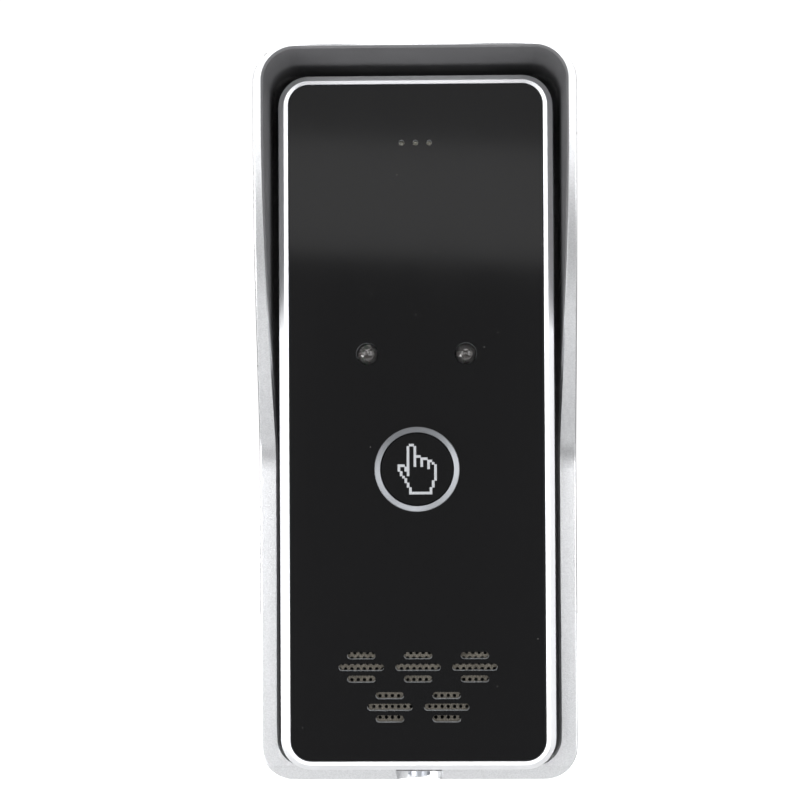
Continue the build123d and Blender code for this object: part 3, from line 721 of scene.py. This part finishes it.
def turned_mesh(name: str, outline: Sequence[Point], x: float, z: float, steps: int = 64) -> bpy.types.Mesh:
    """Turns an outline of (radius, depth) points about an axis that stands out from the wall.

    Args:
        name: the mesh's name.
        outline: the points, in millimetres, from the back centre round to the front centre.
        x: where the axis is, to the right.
        z: where the axis is, up.
        steps: how many steps the turn has.

    Returns:
        A closed mesh with smooth faces.
    """
    work = bmesh.new()
    rings = []
    for radius, depth in outline:
        count = 1 if radius == 0 else steps
        ring = []
        for step in range(count):
            angle = 2 * math.pi * step / steps
            spot = (x + radius * math.cos(angle), -depth, z + radius * math.sin(angle))
            ring.append(work.verts.new(Vector(spot) * MM))
        rings.append(ring)
    for first, second in zip(rings, rings[1:]):
        for step in range(steps):
            ahead = (step + 1) % steps
            corners = [first[step % len(first)], first[ahead % len(first)]]
            corners += [second[ahead % len(second)], second[step % len(second)]]
            unique = list(dict.fromkeys(corners))
            work.faces.new(unique)
    bmesh.ops.recalc_face_normals(work, faces=work.faces)
    for face in work.faces:
        face.smooth = True
    mesh = bpy.data.meshes.new(name)
    work.to_mesh(mesh)
    work.free()
    return mesh


def rounded_outline(size: Point, radius: float, centre_z: float, steps: int = 8) -> list[Point]:
    """The points of a rounded rectangle.

    Args:
        size: width and height.
        radius: the corner radius.
        centre_z: how high its centre is.
        steps: how many steps each corner has.

    Returns:
        (x, z) points in order round it.
    """
    points = []
    for quarter, (side_x, side_z) in enumerate(((1, 1), (-1, 1), (-1, -1), (1, -1))):
        for step in range(steps + 1):
            angle = (quarter + step / steps) * math.pi / 2
            x = side_x * (size[0] / 2 - radius) + radius * math.cos(angle)
            z = side_z * (size[1] / 2 - radius) + radius * math.sin(angle)
            points.append((x, centre_z + z))
    return points


def pierced_sheet(name: str, loops: Iterable[Sequence[Point]], depths: Point) -> bpy.types.Mesh:
    """A flat sheet parallel to the wall, with every loop after the first cut right through it.

    Args:
        name: the mesh's name.
        loops: (x, z) points of the outline and of each hole, in millimetres.
        depths: how far out its back and its front are.

    Returns:
        A closed mesh.
    """
    curve = bpy.data.curves.new(name, "CURVE")
    curve.dimensions = "2D"
    curve.fill_mode = "BOTH"
    curve.extrude = (depths[1] - depths[0]) / 2 * MM
    for loop in loops:
        spline = curve.splines.new("POLY")
        spline.points.add(len(loop) - 1)
        for point, (x, z) in zip(spline.points, loop):
            point.co = (x * MM, z * MM, 0.0, 1.0)
        spline.use_cyclic_u = True
    holder = bpy.data.objects.new(name, curve)
    mesh = bpy.data.meshes.new_from_object(holder)
    bpy.data.objects.remove(holder)
    bpy.data.curves.remove(curve)
    middle = Matrix.Translation((0.0, -(depths[0] + depths[1]) / 2 * MM, 0.0))
    mesh.transform(middle @ Matrix.Rotation(math.pi / 2, 4, "X"))
    work = bmesh.new()
    work.from_mesh(mesh)
    bmesh.ops.remove_doubles(work, verts=work.verts, dist=0.001 * MM)
    bmesh.ops.recalc_face_normals(work, faces=work.faces)
    work.to_mesh(mesh)
    work.free()
    mesh.name = name
    return mesh


def wire_mesh(name: str, route: Sequence[Vector], radius: float, sides: int = 10) -> bpy.types.Mesh:
    """A round wire along a smooth route.

    Args:
        name: the mesh's name.
        route: its control points, in millimetres.
        radius: the wire's radius.
        sides: how many sides it has.

    Returns:
        A closed mesh with smooth faces.
    """
    curve = bpy.data.curves.new(name, "CURVE")
    curve.dimensions = "3D"
    curve.bevel_depth = radius * MM
    curve.bevel_resolution = sides // 2
    curve.use_fill_caps = True
    spline = curve.splines.new("NURBS")
    spline.points.add(len(route) - 1)
    for point, spot in zip(spline.points, route):
        point.co = (*(spot * MM), 1.0)
    spline.order_u = 3
    spline.use_endpoint_u = True
    holder = bpy.data.objects.new(name, curve)
    mesh = bpy.data.meshes.new_from_object(holder)
    bpy.data.objects.remove(holder)
    bpy.data.curves.remove(curve)
    mesh.name = name
    return mesh


# --- Sub-assemblies -------------------------------------------------------------------------------
@dataclass
class RainHood:
    """The painted hood with its cable grommet and the screw that locks the unit in it."""

    def build(self) -> None:
        """Dresses the hood's nodes."""
        dress_nodes({"rain_hood": HOOD_LACQUER, "cable_grommet": BLACK_RUBBER, "lock_screw": ZINC_PLATE})


@dataclass
class UnitShell:
    """The unit's frame, panel, housings, seal, tape and screws."""

    def build(self) -> None:
        """Dresses the shell's nodes."""
        dress_nodes(
            {
                "bezel_frame": BEZEL_ALUMINIUM,
                "front_panel": BLACK_ACRYLIC,
                "panel_tape": FOAM_TAPE,
                "front_housing": BLACK_ABS,
                "rear_housing": BLACK_ABS,
                "housing_seal": BLACK_RUBBER,
                "housing_screws": ZINC_PLATE,
            }
        )


@dataclass
class CallButton:
    """The round call button: ring, cap, hand sign, and the switch behind it."""

    def build(self) -> None:
        """Dresses the button's nodes."""
        dress_nodes(
            {
                "button_ring": CHROME_RING,
                "button_cap": BLACK_ACRYLIC,
                "hand_icon": PALE_ABS,
                "tact_switch": SWITCH_PBT,
                "switch_stem": SWITCH_PBT,
            }
        )


@dataclass
class Lamp:
    """One clear 5 mm lamp: the cast lens, and the lead frame with its cup, chip and bond wire inside."""

    side: str
    x: float
    z: float
    radius: float = 2.5
    flange_radius: float = 2.9
    foot: float = 22.3
    flange_front: float = 23.3
    tip: float = 30.9
    # The small chamfers and fillets of the lens.
    edge: float = 0.1
    dome_steps: int = 14
    lens_steps: int = 72
    cup_radius: float = 0.72
    cup_floor_radius: float = 0.3
    cup_depths: Point = (26.6, 27.75)
    cup_hollow: float = 0.5
    cup_taper: float = 0.8
    cup_band: float = 0.15
    cup_wall: float = 0.12
    cup_steps: int = 40
    post_x: float = 0.8
    post_drop: float = 0.3
    leg_x: float = 1.27
    leg_mm: float = 0.5
    # How far in front of the foot each leg starts and ends its step inwards.
    leg_step: Point = (1.4, 2.4)
    leg_overlap: float = 0.05
    board_front: float = 22.0
    chip_mm: float = 0.3
    chip_height: float = 0.2
    chip_sides: int = 4
    glue: float = 0.005
    wire_radius: float = 0.035
    wire_lift: float = 0.01
    wire_lean: float = 0.05
    wire_bows: Point = (0.9, 0.6)

    def lens(self) -> bpy.types.Object:
        """Builds the cast lens.

        Returns:
            The lens piece.
        """
        edge, wide, shoulder = self.edge, self.flange_radius, self.tip - self.radius
        outline = [(0.0, self.foot), (wide - edge, self.foot)]
        outline += [(wide, self.foot + edge), (wide, self.flange_front - edge)]
        outline += [(wide - edge, self.flange_front), (self.radius, self.flange_front)]
        outline += [(self.radius, self.flange_front + edge), (self.radius, shoulder - edge)]
        for step in range(self.dome_steps):
            angle = math.pi / 2 * step / self.dome_steps
            outline.append((self.radius * math.cos(angle), shoulder + self.radius * math.sin(angle)))
        outline.append((0.0, self.tip))
        mesh = turned_mesh(f"lamp_{self.side}_lens", outline, self.x, self.z, self.lens_steps)
        piece = add_piece(f"lamp_{self.side}_lens", mesh, Body.STATION, CLEAR_EPOXY)
        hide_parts(f"led_{self.side}")
        return piece

    def lead_frame(self) -> None:
        """Builds the cup on its post, the second post, both legs, the chip and the bond wire."""
        back, lip = self.cup_depths
        floor = lip - self.cup_hollow
        cup_x = self.x + self.post_x / 4
        outline = [(0.0, back), (self.cup_radius * self.cup_taper, back)]
        outline += [(self.cup_radius, lip - self.cup_band), (self.cup_radius, lip)]
        outline += [(self.cup_radius - self.cup_wall, lip), (self.cup_floor_radius, floor), (0.0, floor)]
        cup = turned_mesh(f"lamp_{self.side}_cup", outline, cup_x, self.z, self.cup_steps)
        add_piece(f"lamp_{self.side}_cup", cup, Body.STATION, LEAD_FRAME)
        post_x, post_top = self.x - self.post_x, lip - self.post_drop
        self.leg("cup_leg", self.x + self.leg_x, cup_x, back + self.leg_overlap)
        self.leg("wire_leg", self.x - self.leg_x, post_x, post_top)
        chip_back, chip_front = floor + self.glue, floor + self.chip_height
        chip_outline = [(0.0, chip_back), (self.chip_mm / 2, chip_back)]
        chip_outline += [(self.chip_mm / 2, chip_front), (0.0, chip_front)]
        chip = turned_mesh(f"lamp_{self.side}_chip", chip_outline, cup_x, self.z, self.chip_sides)
        add_piece(f"lamp_{self.side}_chip", chip, Body.STATION, FERRITE)
        on_chip, on_post = chip_front + self.wire_lift, post_top + self.wire_lift
        route = [
            Vector((cup_x, -on_chip, self.z)),
            Vector((cup_x - self.wire_lean, -(on_chip + self.wire_bows[0]), self.z)),
            Vector((post_x, -(on_post + self.wire_bows[1]), self.z)),
            Vector((post_x, -on_post, self.z)),
        ]
        wire = wire_mesh(f"lamp_{self.side}_bond_wire", route, self.wire_radius)
        add_piece(f"lamp_{self.side}_bond_wire", wire, Body.STATION, LEAD_FRAME)

    def leg(self, part: str, foot_x: float, top_x: float, top: float) -> None:
        """Builds one square leg that steps over to its post.

        Args:
            part: what the leg is called.
            foot_x: where it leaves the lens.
            top_x: where its post ends.
            top: how far out its post ends.
        """
        half = self.leg_mm / 2
        step_back, step_front = (self.foot + step for step in self.leg_step)
        left = [(foot_x - half, self.board_front), (foot_x - half, step_back), (top_x - half, step_front)]
        left += [(top_x - half, top)]
        right = [(top_x + half, top), (top_x + half, step_front), (foot_x + half, step_back)]
        right += [(foot_x + half, self.board_front)]
        work = bmesh.new()
        rows = []
        for z in (self.z - half, self.z + half):
            rows.append([work.verts.new(Vector((x, -depth, z)) * MM) for x, depth in left + right])
        count = len(rows[0])
        for here in range(count):
            ahead = (here + 1) % count
            work.faces.new([rows[0][here], rows[0][ahead], rows[1][ahead], rows[1][here]])
        for row in rows:
            for here in range(count // 2 - 1):
                mirror = count - 1 - here
                work.faces.new([row[here], row[here + 1], row[mirror - 1], row[mirror]])
        bmesh.ops.recalc_face_normals(work, faces=work.faces)
        mesh = bpy.data.meshes.new(f"lamp_{self.side}_{part}")
        work.to_mesh(mesh)
        work.free()
        add_piece(f"lamp_{self.side}_{part}", mesh, Body.STATION, LEAD_FRAME)


@dataclass
class Lamps:
    """The two lamps above the button and their sleeves."""

    spacing: float = 23.3
    z: float = 16.1

    def build(self) -> None:
        """Builds both lamps, and dresses their holders and the plain CAD lamps."""
        for side, x in (("left", -self.spacing / 2), ("right", self.spacing / 2)):
            lamp = Lamp(side, x, self.z)
            lamp.lens()
            lamp.lead_frame()
        dress_nodes({"led_holders": BLACK_ABS, "led_left": CLEAR_EPOXY, "led_right": CLEAR_EPOXY})


@dataclass
class Microphone:
    """The microphone behind three small holes, with its boot and felt."""

    def build(self) -> None:
        """Dresses the microphone's nodes."""
        dress_nodes({"mic_capsule": ZINC_PLATE, "mic_boot": BLACK_RUBBER, "mic_felt": CREAM_FELT})


@dataclass
class Speaker:
    """The speaker and the perforated sheet in front of it."""

    size: Point = (43.0, 23.0)
    corner: float = 3.0
    centre_z: float = -62.6
    depths: Point = (28.05, 28.55)
    hole_pitch: float = 1.47
    hole_radius: float = 0.42
    hole_sides: int = 16
    margin: float = 1.1
    # The sheet is cut from stock, so its holes aren't centred on it.
    stock_shift: Point = (-0.27, 0.3)

    def hole(self, x: float, z: float) -> list[Point]:
        """The (x, z) points round one punched hole."""
        turns = [2 * math.pi * side / self.hole_sides for side in range(self.hole_sides)]
        return [(x + self.hole_radius * math.cos(t), z + self.hole_radius * math.sin(t)) for t in turns]

    def grille(self) -> bpy.types.Object:
        """Builds the sheet with staggered rows of punched holes.

        Returns:
            The grille piece, which replaces the plain CAD sheet.
        """
        loops = [rounded_outline(self.size, self.corner, self.centre_z)]
        row_pitch = self.hole_pitch * math.sqrt(3) / 2
        half_x = self.size[0] / 2 - self.margin - self.hole_radius
        half_z = self.size[1] / 2 - self.margin - self.hole_radius
        rows = int(half_z / row_pitch)
        columns = int(half_x / self.hole_pitch)
        for row in range(-rows, rows + 1):
            shift = self.hole_pitch / 2 if row % 2 else 0.0
            for column in range(-columns, columns + 1):
                x = column * self.hole_pitch + shift + self.stock_shift[0]
                z = row * row_pitch + self.stock_shift[1]
                if abs(x) > half_x or abs(z) > half_z:
                    continue
                loops.append(self.hole(x, self.centre_z + z))
        mesh = pierced_sheet("speaker_perforated_sheet", loops, self.depths)
        piece = add_piece("speaker_perforated_sheet", mesh, Body.STATION, NICKEL_SHEET)
        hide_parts("speaker_grille")
        return piece

    def build(self) -> None:
        """Builds the grille and dresses the speaker's nodes."""
        self.grille()
        dress_nodes(
            {
                "speaker_grille": NICKEL_SHEET,
                "speaker_gasket": FOAM_TAPE,
                "speaker_basket": ZINC_PLATE,
                "speaker_magnet": FERRITE,
                "speaker_cone": CONE_PULP,
            }
        )


@dataclass
class CircuitBoard:
    """The board with its chips, capacitors, terminals and connector."""

    def build(self) -> None:
        """Dresses the board's nodes."""
        dress_nodes(
            {
                "main_board": GREEN_BOARD,
                "board_screws": ZINC_PLATE,
                "audio_chips": CHIP_EPOXY,
                "capacitors": CAN_SLEEVE,
                "terminal_block": TERMINAL_NYLON,
                "terminal_screws": ZINC_PLATE,
                "speaker_connector": CONNECTOR_NYLON,
            }
        )


# --- Studio ---------------------------------------------------------------------------------------
@dataclass(frozen=True)
class MattePaper(Finish):
    """Seamless studio paper: pale and even, with a faint tooth."""

    colour: str = "#F4F4F4"
    shade: str = "#F0F0F0"
    tooth_mm: float = 1.5
    depth_mm: float = 0.02

    def build(self) -> bpy.types.Material:
        """Makes the material."""
        tree = self.tree()
        place = self.place(tree)
        tooth = self.noise(tree, place, self.tooth_mm)
        return self.finish(
            tree,
            Base_Color=self.blend(tree, tooth, linear(self.colour), linear(self.shade)),
            Roughness=0.9,
            Normal=self.bump(tree, tooth, self.depth_mm),
        )


@dataclass
class Softbox:
    """A soft rectangular light: its place and size in metres, and how bright its face is."""

    name: str
    place: Spot
    size: Point
    brightness: float
    aim: Spot = (0.0, 0.0, 0.0)
    # Degrees about the way that it shines.
    roll: float = 0.0
    # A light for glints is mirrored in glossy surfaces but doesn't light matt ones.
    glint_only: bool = False

    def build(self) -> None:
        """Puts the light in the scene."""
        light = bpy.data.lights.new(self.name, "AREA")
        light.shape = "RECTANGLE"
        light.size, light.size_y = self.size
        # An area light's face gives a quarter of its power per unit of area.
        light.energy = 4 * self.brightness * self.size[0] * self.size[1]
        lamp = bpy.data.objects.new(self.name, light)
        aimed = (Vector(self.aim) - Vector(self.place)).to_track_quat("-Z", "Y").to_matrix()
        rolled = aimed @ Matrix.Rotation(math.radians(self.roll), 3, "Z")
        lamp.matrix_world = Matrix.LocRotScale(Vector(self.place), rolled, None)
        lamp.visible_camera = False
        lamp.visible_diffuse = not self.glint_only
        bpy.context.scene.collection.objects.link(lamp)


@dataclass
class Studio:
    """The floor, the lights, the surroundings and the camera. Lengths are in metres."""

    floor_z: float = -0.22
    floor_width: float = 3.2
    floor_front: float = -0.3
    floor_back: float = 1.8
    surround: float = 0.2
    backdrop: float = 1.1
    camera_place: Spot = (0.00481, -0.4896, -0.00171)
    camera_tilt: float = 0.01501
    camera_roll: float = 0.00517
    camera_turn: float = 0.01915
    lens_mm: float = 87.4
    softboxes: list[Softbox] = field(
        default_factory=lambda: [
            Softbox("front_high_wide", (0.0, -1.5, 0.32), (1.6, 0.31), 0.22, (0.0, 0.0, 0.32), -3.0),
            Softbox("front_high_core", (0.0, -1.49, 0.225), (1.6, 0.115), 0.36, (0.0, 0.0, 0.225), -3.0),
            Softbox("left_strip", (-0.31, -1.5, 0.15), (0.2, 0.95), 3.0),
            Softbox("right_strip", (0.29, -1.5, 0.15), (0.2, 0.95), 3.0),
            Softbox("left_bank", (-0.75, -1.0, 0.15), (0.55, 1.0), 3.2),
            Softbox("right_bank", (0.75, -1.0, 0.15), (0.55, 1.0), 3.2),
            Softbox("left_side", (-0.9, -0.3, 0.1), (0.7, 0.9), 0.75),
            Softbox("right_side", (0.9, -0.3, 0.1), (0.7, 0.9), 1.0),
            Softbox("front_above", (0.0, -1.0, 1.1), (1.2, 0.5), 3.0),
            Softbox("underneath", (0.0, -0.16, -0.215), (0.8, 0.22), 0.8, (0.0, -0.16, 0.0)),
            Softbox("glint_left", (-0.46, -0.3, -0.16), (0.22, 0.22), 10.0, glint_only=True),
            Softbox("glint_above", (0.05, -0.75, 0.42), (0.16, 0.16), 9.0, glint_only=True),
            Softbox("overhead", (0.0, 1.1, 1.4), (3.2, 2.2), 4.2, (0.0, 1.1, 0.0)),
            Softbox("behind_left", (-1.1, 1.2, 0.6), (0.8, 0.8), 1.5),
            Softbox("behind_right", (1.1, 1.2, 0.6), (0.8, 0.8), 1.5),
        ]
    )

    def floor(self) -> None:
        """Lays the pale floor."""
        work = bmesh.new()
        bmesh.ops.create_grid(work, x_segments=8, y_segments=8, size=0.5)
        mesh = bpy.data.meshes.new("studio_floor")
        work.to_mesh(mesh)
        work.free()
        middle = Vector((0.0, (self.floor_front + self.floor_back) / 2, self.floor_z))
        size = Vector((self.floor_width, self.floor_back - self.floor_front, 1.0))
        mesh.transform(Matrix.LocRotScale(middle, None, size))
        floor = bpy.data.objects.new("studio_floor", mesh)
        bpy.context.scene.collection.objects.link(floor)
        dress(floor, MattePaper("seamless_paper"))
        # Hidden from glossy rays, the bright floor stays out of the object's reflections.
        floor.visible_glossy = False

    def surroundings(self) -> None:
        """White beyond the floor for the camera, and a dim even room for everything else."""
        world = bpy.data.worlds.new("studio")
        world.use_nodes = True
        tree = world.node_tree
        tree.nodes.clear()
        room = add_node(tree, "ShaderNodeBackground", {"Strength": self.surround})
        white = add_node(tree, "ShaderNodeBackground", {"Strength": self.backdrop})
        for background in (room, white):
            background.inputs["Color"].default_value = linear("#FFFFFF")
        seen = add_node(tree, "ShaderNodeLightPath").outputs["Is Camera Ray"]
        worlds = {0: seen, 1: room.outputs[0], 2: white.outputs[0]}
        shown = add_node(tree, "ShaderNodeMixShader", worlds)
        add_node(tree, "ShaderNodeOutputWorld", {"Surface": shown.outputs[0]})
        bpy.context.scene.world = world

    def camera(self) -> None:
        """Sets the camera in front of the station, level with its middle."""
        data = bpy.data.cameras.new("camera")
        data.sensor_width = 36.0
        data.lens = self.lens_mm
        data.clip_start, data.clip_end = 0.01, 50.0
        camera = bpy.data.objects.new("camera", data)
        level = Matrix(((1, 0, 0), (0, 0, -1), (0, 1, 0)))
        aim = (
            Matrix.Rotation(self.camera_turn, 3, "Z")
            @ Matrix.Rotation(self.camera_roll, 3, "Y")
            @ Matrix.Rotation(self.camera_tilt, 3, "X")
            @ level
        )
        camera.matrix_world = Matrix.LocRotScale(Vector(self.camera_place), aim, None)
        bpy.context.scene.collection.objects.link(camera)
        bpy.context.scene.camera = camera

    def build(self) -> None:
        """Sets up the whole studio, with plain sRGB tones."""
        self.floor()
        self.surroundings()
        for softbox in self.softboxes:
            softbox.build()
        self.camera()
        bpy.context.scene.view_settings.view_transform = "Standard"
        bpy.context.scene.view_settings.look = "None"


def main() -> None:
    """Builds the station and its studio in order."""
    logging.basicConfig(level=logging.INFO, format="%(name)s: %(message)s")
    shell = (RainHood(), UnitShell(), CallButton())
    inside = (Lamps(), Microphone(), Speaker(), CircuitBoard())
    for part in (*shell, *inside, Studio()):
        log.info("building %s", type(part).__name__)
        part.build()
    bpy.context.view_layer.update()


if __name__ == "__main__":
    main()
